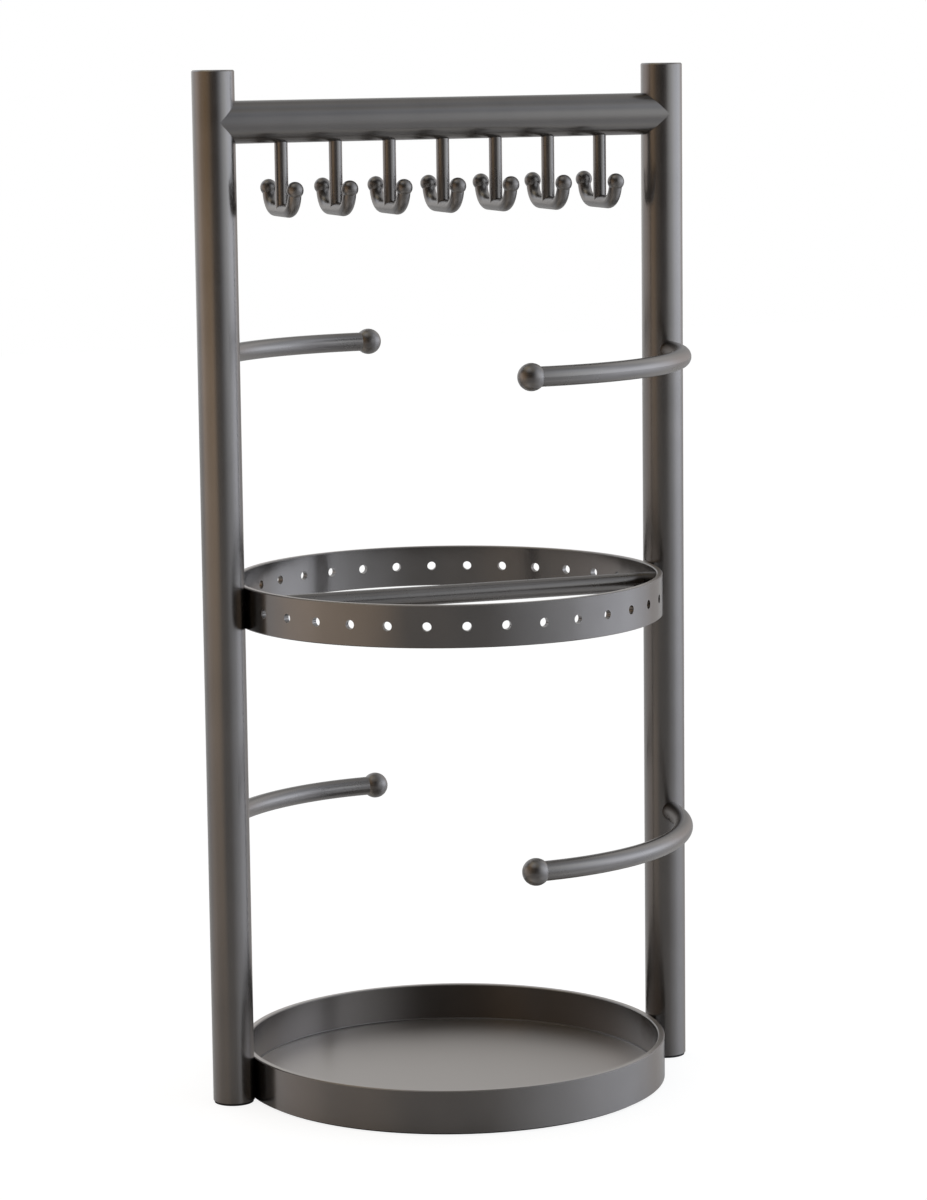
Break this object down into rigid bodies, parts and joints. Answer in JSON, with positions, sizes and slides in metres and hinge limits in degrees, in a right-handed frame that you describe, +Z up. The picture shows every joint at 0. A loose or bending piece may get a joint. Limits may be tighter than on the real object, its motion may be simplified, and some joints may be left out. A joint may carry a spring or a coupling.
{
  "type": "jewelry stand",
  "caption": "Free-standing jewelry stand with upright posts, a crossbar of double hooks, curved bracelet arms, a pierced earring band and a round open tray.",
  "frame": {"origin": "on the table, under the middle of the round tray", "axes": "+X from the left post to the right post, along the crossbar; -Y is the front; +Z up along the posts"},
  "size_m": [0.1724, 0.1676, 0.345],
  "materials": {
    "gunmetal": "satin graphite coating over steel",
    "soft_pad": "matt black foam rubber"
  },
  "bodies": {
    "root": {"band_cross_rod": "gunmetal", "earring_band": "gunmetal", "hook_1_ball_back": "gunmetal", "hook_1_ball_front": "gunmetal", "hook_1_cradle": "gunmetal", "hook_1_stem": "gunmetal", "hook_2_ball_back": "gunmetal", "hook_2_ball_front": "gunmetal", "hook_2_cradle": "gunmetal", "hook_2_stem": "gunmetal", "hook_3_ball_back": "gunmetal", "hook_3_ball_front": "gunmetal", "hook_3_cradle": "gunmetal", "hook_3_stem": "gunmetal", "hook_4_ball_back": "gunmetal", "hook_4_ball_front": "gunmetal", "hook_4_cradle": "gunmetal", "hook_4_stem": "gunmetal", "hook_5_ball_back": "gunmetal", "hook_5_ball_front": "gunmetal", "hook_5_cradle": "gunmetal", "hook_5_stem": "gunmetal", "hook_6_ball_back": "gunmetal", "hook_6_ball_front": "gunmetal", "hook_6_cradle": "gunmetal", "hook_6_stem": "gunmetal", "hook_7_ball_back": "gunmetal", "hook_7_ball_front": "gunmetal", "hook_7_cradle": "gunmetal", "hook_7_stem": "gunmetal", "left_post": "gunmetal", "left_post_cap": "gunmetal", "left_post_foot": "soft_pad", "lower_left_arm": "gunmetal", "lower_left_arm_ball": "gunmetal", "lower_right_arm": "gunmetal", "lower_right_arm_ball": "gunmetal", "right_post": "gunmetal", "right_post_cap": "gunmetal", "right_post_foot": "soft_pad", "top_crossbar": "gunmetal", "tray": "gunmetal", "tray_pad": "soft_pad", "upper_left_arm": "gunmetal", "upper_left_arm_ball": "gunmetal", "upper_right_arm": "gunmetal", "upper_right_arm_ball": "gunmetal"}
  },
  "joints": []
}
